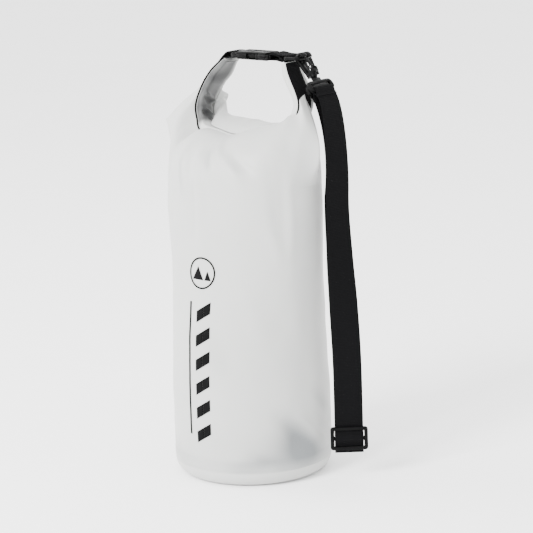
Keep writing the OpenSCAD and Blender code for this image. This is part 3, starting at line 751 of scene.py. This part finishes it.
def clean_copy(node, name):
    """A copy of a CAD node's mesh with its points joined and its flat faces whole again."""
    mesh = nodes[node].data.copy()
    bm = bmesh.new()
    bm.from_mesh(mesh)
    bmesh.ops.remove_doubles(bm, verts=bm.verts, dist=1e-6)
    bmesh.ops.dissolve_limit(bm, angle_limit=math.radians(1), verts=bm.verts, edges=bm.edges)
    bm.to_mesh(mesh)
    bm.free()
    obj = bpy.data.objects.new(name, mesh)
    obj.matrix_world = nodes[node].matrix_world.copy()
    bpy.context.scene.collection.objects.link(obj)
    return obj


def rounded_copy(node, width):
    """A copy of a CAD node with its hard edges eased, as a moulding's are."""
    obj = clean_copy(node, node + "_shown")
    bevel = obj.modifiers.new("ease", "BEVEL")
    bevel.width = width
    bevel.segments = 2
    bevel.limit_method = "ANGLE"
    bevel.angle_limit = math.radians(38)
    bevel.harden_normals = True
    apply_modifiers(obj)
    for polygon in obj.data.polygons:
        polygon.use_smooth = True
    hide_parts(node)
    return obj


def apply_modifiers(obj):
    bpy.context.view_layer.update()
    evaluated = obj.evaluated_get(bpy.context.evaluated_depsgraph_get())
    mesh = bpy.data.meshes.new_from_object(evaluated)
    obj.modifiers.clear()
    obj.data = mesh


# ---- Webbing ----
# Half the section of webbing, as shares of half its width and half its thickness
WEB_EDGE = (
    (-1, 0.4), (-0.985, 0.8), (-0.94, 1), (-0.5, 1), (0, 1), (0.5, 1), (0.94, 1), (0.985, 0.8), (1, 0.4),
)
STRAP_W, STRAP_T = 38 * MM, 1.6 * MM
# The bars that the three tabs go round, in mm: their X, and the webbing's middle from their centres
LEFT_BAR_X, RIGHT_BAR_X, RING_BAR_X = -31, 33, 60
BUCKLE_WRAP, RING_WRAP = 2.4 + 0.3 + 0.8, 2.2 + 0.2 + 0.8
TAB_T = 1.6 * MM


def web_section(width, thick):
    top = [(a * width / 2, b * thick / 2) for a, b in WEB_EDGE]
    return top + [(a, -b) for a, b in reversed(top)]


def web_strip(name, path, across, width, thick, node=None):
    """Webbing swept along a path of points: across gives the width's direction at each of them."""
    rings = []
    for i, point in enumerate(path):
        along = unit(path[min(i + 1, len(path) - 1)] - path[max(i - 1, 0)])
        side = unit(across[i] - along * np.dot(across[i], along))
        up = np.cross(side, along)
        rings.append([point + side * a + up * b for a, b in web_section(width, thick)])
    obj = grid_mesh(name, rings, cap_start=True, cap_end=True)
    recalc_normals(obj)
    dress(obj, "webbing")
    if node:
        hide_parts(node)
        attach(obj, body_of_node(node))
    return obj


def smooth_path(points, steps=8):
    """Points close together along a smooth curve through the given ones."""
    points = [np.asarray(p, float) for p in points]
    count = (len(points) - 1) * steps
    return [spline(points, i / steps) for i in range(count + 1)]


def flat_web(name, points, width, thick, middle_y, node=None, steps=8):
    """Webbing whose path lies in an X-Z plane and whose width runs along Y: points are (x, z) in mm."""
    path = smooth_path([mm(x, 0, z) + np.array([0, middle_y, 0]) for x, z in points], steps)
    return web_strip(name, path, [np.array([0, 1.0, 0])] * len(path), width, thick, node)


def round_bar(x, z, radius, start, stop, steps=8):
    """Points round a bar, from one angle in degrees to another."""
    turn = np.radians(np.linspace(start, stop, steps))
    return [(x + radius * math.cos(a), z + radius * math.sin(a)) for a in turn]


def buckle_tabs():
    """The three tabs at the buckle: each goes round its bar and is sewn down to the band."""
    z = BUCKLE_Z / MM
    around = BUCKLE_WRAP
    left = [(-63, 545), (-56, 552), (-50, 558), (-43, z + 2.6), (-37, z + around)]
    left += round_bar(LEFT_BAR_X, z, around, 90, -90) + [(-37, z - around), (-42, z - 4.2), (-45, z - 5.4)]
    flat_web("left_tab_shown", left, WEB_W, TAB_T, BUCKLE_Y, "left_tab")
    right = [(66, 548), (61, 553.2), (56, 557.2), (50, z + 0.4), (44, z + 2.8), (39, z + around)]
    right += round_bar(RIGHT_BAR_X, z, around, 90, 270) + [(39, z - around), (45, z - 3.6), (53, z - 5.0)]
    flat_web("right_tab_shown", right, WEB_W, TAB_T, BUCKLE_Y, "right_tab")
    ring = [(37, z + 5.3), (43, z + 4.6), (49, z + 3.6), (55, z + 3.3)]
    ring += round_bar(RING_BAR_X, z, RING_WRAP, 90, -90) + [(56, z - 3.1), (52, z - 2.0), (49, z - 1.0)]
    flat_web("d_ring_tab_shown", ring, WEB_W, TAB_T, BUCKLE_Y, "d_ring_tab")


# The hooks hang from the ring's bow: tilt in degrees and place across, and how far down their bars are
BOW_X = 81 * MM
HOOKS = {"front": (42, BUCKLE_Y - 4.3 * MM, 11), "rear": (27, BUCKLE_Y + 4.3 * MM, 12)}
LOWER_BAR = 50.3 * MM


def hook_place(which, out, down):
    """A point in a hook's plane: down its stem and out from it, in metres."""
    tilt, y, _ = HOOKS[which]
    t = math.radians(tilt)
    stem = np.array([math.sin(t), 0, -math.cos(t)])
    side = np.array([math.cos(t), 0, math.sin(t)])
    return np.array([BOW_X, y, BUCKLE_Z]) + stem * down + side * out


def strap_end_loop(which):
    """The strap's sewn end, folded close round the swivel ring's lower bar."""
    tail = HOOKS[which][2]
    half, bar = 2.1 + 0.15 + 0.7, LOWER_BAR / MM
    leg = [(0.9, tail), (0.95, tail * 0.6), (1.6, 5.2), (half, 1.2), (half, -1.4), (2.2, -2.7), (1, -half)]
    outline = [(out, bar + down) for out, down in leg]
    outline += [(-out, down) for out, down in reversed(outline)]
    path = smooth_path([hook_place(which, out * MM, down * MM) for out, down in outline], 5)
    node = f"strap_{which}_loop"
    web_strip(node + "_shown", path, [np.array([0, 1.0, 0])] * len(path), STRAP_W, 1.4 * MM, node)
    for down, stand in ((bar + tail * 0.58, 1.75), (bar + tail * 0.72, 1.68)):
        for out in (-stand, stand):
            ends = [hook_place(which, out * MM, down * MM) + mm(0, y, 0) for y in (-16, 16)]
            normal = hook_place(which, math.copysign(1, out), 0) - hook_place(which, 0, 0)
            stitch_row(ends[0], ends[1], normal, body_of_node(node))


STITCHES = {}


def stitch_row(start, end, normal, body):
    """A row of short raised threads from start to end; rows on one body are kept for one mesh."""
    length = np.linalg.norm(end - start)
    along, normal = unit(end - start), unit(normal)
    side = np.cross(along, normal)
    count = max(2, int(length / (2.9 * MM)))
    rows = STITCHES.setdefault(body, [])
    for k in range(count):
        middle = start + along * length * (k + 0.5) / count
        rows.append((middle, along * 1.1 * MM, side * 0.28 * MM, normal * 0.26 * MM))


def sew():
    """Builds the stitches of each body as one mesh of small rounded threads."""
    for body, rows in STITCHES.items():
        verts, faces = [], []
        for middle, along, side, up in rows:
            base = len(verts)
            for a, w in ((-1, 0.35), (-0.6, 0.95), (0.6, 0.95), (1, 0.35)):
                for angle in range(0, 360, 60):
                    t = math.radians(angle)
                    verts.append(middle + along * a + (side * math.cos(t) + up * math.sin(t)) * w)
            for i in range(3):
                for j in range(6):
                    p, q = base + i * 6 + j, base + i * 6 + (j + 1) % 6
                    faces.append((p, q, q + 6, p + 6))
            faces.append(tuple(base + j for j in reversed(range(6))))
            faces.append(tuple(base + 18 + j for j in range(6)))
        mesh = bpy.data.meshes.new(f"stitches_{body}")
        mesh.from_pydata([tuple(v) for v in verts], [], faces)
        mesh.uv_layers.new(name="UVMap")
        for polygon in mesh.polygons:
            polygon.use_smooth = True
        obj = bpy.data.objects.new(f"stitches_{body}", mesh)
        bpy.context.scene.collection.objects.link(obj)
        recalc_normals(obj)
        dress(obj, "thread")
        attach(obj, body)


# ---- The hanging strap ----
HANG_TOP_Z, FLAT_Z, STRAP_Z = 384, 134, 36
HANG_LOW, HANG_TOP = (145.4, 27.5), (135.2, 27)
FACE_LOW, FACE_TOP = 41, 78
PLY_OFFSET = 1.7


def hang(z):
    """The strap's middle, its facing and its width's direction at height z in mm."""
    t = float(smooth((z - FLAT_Z) / (HANG_TOP_Z - FLAT_Z)))
    turn = math.radians(lerp(FACE_LOW, FACE_TOP, t))
    middle = mm(lerp(HANG_LOW[0], HANG_TOP[0], t), lerp(HANG_LOW[1], HANG_TOP[1], t), z)
    out = np.array([math.sin(turn), -math.cos(turn), 0])
    wide = np.array([math.cos(turn), math.sin(turn), 0])
    return middle, out, wide


def ply_path(which):
    """The path of one ply from the fold at the bottom up to the sewn end at its hook, and its widths."""
    side = 1 if which == "front" else -1
    path, across = [], []
    for z in np.linspace(STRAP_Z + 6, HANG_TOP_Z, 90):
        middle, out, wide = hang(z)
        sway = 0.5 * math.sin(z * 0.031 + side) + 0.35 * math.sin(z * 0.083)
        path.append(middle + out * (side * PLY_OFFSET + sway * 0.6 * smooth((z - 100) / 60)) * MM)
        across.append(wide)
    tail = HOOKS[which][2]
    down = hook_place(which, 0, 1) - hook_place(which, 0, 0)
    end = hook_place(which, 0, LOWER_BAR + (tail - 2.5) * MM)
    lift = mm(2.5, 0, 48) if side > 0 else mm(7, 3, 56)
    curve = [path[-1], path[-1] + lift, end + down * (20 if side > 0 else 27) * MM, end]
    for t in np.linspace(0, 1, 44)[1:]:
        turn = math.radians(lerp(FACE_TOP, 90, smooth(t)))
        path.append(bezier(curve, t))
        across.append(np.array([math.cos(turn), math.sin(turn), 0]))
    return path, across


def strap():
    """One length of webbing: down the front ply, round the fold and up the rear ply."""
    front, front_across = ply_path("front")
    rear, rear_across = ply_path("rear")
    middle, out, wide = hang(STRAP_Z + 6)
    fold = []
    for angle in np.linspace(0, 180, 11):
        a = math.radians(angle)
        fold.append(middle + out * PLY_OFFSET * math.cos(a) * MM + mm(0, 0, -3.6 - 1.6 * math.sin(a)))
    path = front[::-1] + fold + rear
    across = front_across[::-1] + [wide] * len(fold) + rear_across
    obj = web_strip("strap_shown", path, across, STRAP_W, STRAP_T, "strap_front_ply")
    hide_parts("strap_rear_ply", "strap_fold")


GLIDE_Z = (GLIDE_LOW.z + GLIDE_HIGH.z) / 2 / MM


def glide_webbing():
    """The webbing where it comes out of the tri-glide and crosses its middle bar."""
    middle, out, wide = hang(GLIDE_Z)
    outline = [(10.6, 3.4), (8.4, 3.6), (5.6, 5.2), (3.6, 7.1), (1.4, 7.7)]
    outline += [(-up, off) for up, off in reversed(outline)]
    path = smooth_path([middle + mm(0, 0, up) + out * off * MM for up, off in outline], 5)
    web_strip("tri_glide_bridge_shown", path, [wide] * len(path), STRAP_W, 1.5 * MM, "tri_glide_bridge")


# ---- Print ----
BADGE_Z, BADGE_R, BADGE_LINE = 287, 21, 2.2
# Two mountains in the badge: left and right foot, peak, and height above the badge's middle
PEAKS = ((-15, 3, -6, 8), (5, 15, 9, 3))
BAR_LOW, BAR_HIGH, BAR_COUNT = 58, 254, 6
BAR_W, BAR_SLANT, BAR_TALL = 10.8, 6.8, 15.2


def skin_point(x, z, lift):
    """A point on the printed front: x across it and z up it, in mm, lift above the creased fabric."""
    return tube_skin(-math.pi / 2 + x / (TUBE_R / MM), z * MM, lift)


def print_grid(corners, columns, rows):
    """A printed patch between four corners, given in order round it."""
    a, b, c, d = [np.array(p, float) for p in corners]
    rings = []
    for i in range(rows + 1):
        t = i / rows
        across = [j / columns for j in range(columns + 1)]
        rings.append([lerp(lerp(a, b, k), lerp(d, c, k), t) for k in across])
    return rings


def print_part(name, flat_rings, closed=False):
    """Rings of (x, z) points in mm laid on the fabric as a thin print."""
    rings = [[skin_point(p[0], p[1], 0.5) for p in ring] for ring in flat_rings]
    return grid_mesh(name, rings, closed=closed)


def front_print():
    parts = []
    circle = [2 * math.pi * k / 72 for k in range(72)]
    rings = []
    for r in np.linspace(BADGE_R - BADGE_LINE, BADGE_R, 4):
        rings.append([(r * math.cos(a), BADGE_Z + r * math.sin(a)) for a in circle])
    parts.append(print_part("badge_ring", rings, closed=True))
    for left, right, peak, top in PEAKS:
        low = BADGE_Z - 9
        corners = ((left, low), (right, low), (peak + 0.2, BADGE_Z + top), (peak - 0.2, BADGE_Z + top))
        parts.append(print_part("badge_peak", print_grid(corners, 6, 8)))
    step = (BAR_HIGH - BAR_LOW) / BAR_COUNT
    for k in range(BAR_COUNT):
        low = BAR_LOW + k * step
        for x, shift in ((-5, 0), (6, 7)):
            foot, far = low + shift, x + BAR_W
            corners = ((x, foot), (far, foot + BAR_SLANT),
                       (far, foot + BAR_SLANT + BAR_TALL), (x, foot + BAR_TALL))
            parts.append(print_part("bar", print_grid(corners, 8, 16)))
    rule = ((-18, BAR_LOW + 10), (-15, BAR_LOW + 10), (-15, BAR_HIGH - 6), (-18, BAR_HIGH - 6))
    parts.append(print_part("rule", print_grid(rule, 2, 90)))
    bm = bmesh.new()
    for part in parts:
        bm.from_mesh(part.data)
        bpy.data.objects.remove(part)
    mesh = bpy.data.meshes.new("front_graphic_shown")
    bm.to_mesh(mesh)
    bm.free()
    obj = bpy.data.objects.new("front_graphic_shown", mesh)
    bpy.context.scene.collection.objects.link(obj)
    shell = obj.modifiers.new("thickness", "SOLIDIFY")
    shell.thickness = 0.2 * MM
    shell.offset = -1
    apply_modifiers(obj)
    dress(obj, "print")
    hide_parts("front_graphic")
    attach(obj, "bag")


def seam_tape():
    """The welded tape down the back, laid on the creased fabric."""
    rings = []
    for z in np.linspace(EDGE_R / MM + 18, SHOULDER_Z / MM - 4, 90):
        ring = []
        for x in np.linspace(-10.7, 10.7, 13):
            angle = math.pi / 2 + x / (TUBE_R / MM)
            ring.append(tube_skin(angle, z * MM, 0.45 if abs(x) < 10 else 0.1))
        rings.append(ring)
    obj = grid_mesh("back_seam_tape_shown", rings, closed=False)
    shell = obj.modifiers.new("thickness", "SOLIDIFY")
    shell.thickness = 0.4 * MM
    shell.offset = -1
    apply_modifiers(obj)
    recalc_normals(obj)
    dress(obj, "tape")
    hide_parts("back_seam_tape")
    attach(obj, "bag")


def body_of_node(node):
    return frame["nodes"][node]["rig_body"]


# How much each moulding's edges are eased, in mm
EASED = {
    "buckle_female": 0.7, "buckle_male": 0.7, "latch_prong_front": 0.5, "latch_prong_rear": 0.5,
    "hook_front": 0.9, "hook_rear": 0.9, "hook_front_gate": 0.5, "hook_rear_gate": 0.5,
    "ring_front": 0.9, "ring_rear": 0.9, "tri_glide": 0.9,
}


def build():
    fabric, base, band = bag_fabric(), bag_base(), weld_band()
    for piece in (base, band):
        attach(piece, "bag")
    roll, webbing = roll_fabric(), handle_band()
    for piece in (fabric, roll, webbing):
        bend_with_buckle(piece)
    buckle_tabs()
    for which in HOOKS:
        strap_end_loop(which)
    strap()
    glide_webbing()
    front_print()
    seam_tape()
    for node, width in EASED.items():
        piece = rounded_copy(node, width * MM)
        dress(piece, "plastic")
        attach(piece, body_of_node(node))
    sew()
    for node, obj in nodes.items():
        if obj.hide_render:
            continue
        dress(obj, "steel" if node.endswith("_pin") else "plastic")


# ---- Floor, light and camera ----
def studio():
    size = 12
    sides = [[(-size, y, 0), (size, y, 0)] for y in (-size, size)]
    floor = grid_mesh("floor", sides, closed=False)
    s = Shader("floor_white", (0.96, 0.96, 0.96), 0.8)
    where = s.coordinates("Object")
    tint = s.ramp(s.noise(where, 2, 2), "Fac", 0.3, 0.7, (0.955, 0.955, 0.955), (0.97, 0.97, 0.97))
    s.join(tint, "Color", s.surface, "Base Color")
    floor.data.materials.append(s.finish())
    world = bpy.data.worlds.new("studio")
    world.use_nodes = True
    world.node_tree.nodes["Background"].inputs["Color"].default_value = (1, 1, 1, 1)
    world.node_tree.nodes["Background"].inputs["Strength"].default_value = 3.0
    bpy.context.scene.world = world
    soft_light("key", (-0.2, -3.2, 2.2), 1.4, 330)
    soft_light("fill", (-2.6, -1.0, 1.2), 1.6, 60)


def soft_light(name, place, size, power):
    light = bpy.data.lights.new(name, "AREA")
    light.size = size
    light.energy = power
    obj = bpy.data.objects.new(name, light)
    obj.location = place
    aim = Vector((0, 0, 0.29)) - Vector(place)
    obj.rotation_euler = aim.to_track_quat("-Z", "Y").to_euler()
    bpy.context.scene.collection.objects.link(obj)


CAMERA_AZIMUTH = math.radians(41)
CAMERA_HEIGHT = math.radians(12)
CAMERA_ROLL = math.radians(2)
CAMERA_DISTANCE = 3.0
CAMERA_AIM = Vector((0, 0, 0.294))
CAMERA_LENS = 150.6


def camera():
    back = Vector((
        math.sin(CAMERA_AZIMUTH) * math.cos(CAMERA_HEIGHT),
        -math.cos(CAMERA_AZIMUTH) * math.cos(CAMERA_HEIGHT),
        math.sin(CAMERA_HEIGHT),
    ))
    data = bpy.data.cameras.new("camera")
    data.lens = CAMERA_LENS
    data.sensor_width = 36
    data.shift_x = (533 / 2 - 247.0) / 533
    data.shift_y = (255.4 - 533 / 2) / 533
    obj = bpy.data.objects.new("camera", data)
    turn = back.to_track_quat("Z", "Y").to_matrix().to_4x4() @ Matrix.Rotation(-CAMERA_ROLL, 4, "Z")
    obj.matrix_world = Matrix.Translation(CAMERA_AIM + back * CAMERA_DISTANCE) @ turn
    bpy.context.scene.collection.objects.link(obj)
    bpy.context.scene.camera = obj


build()
studio()
camera()
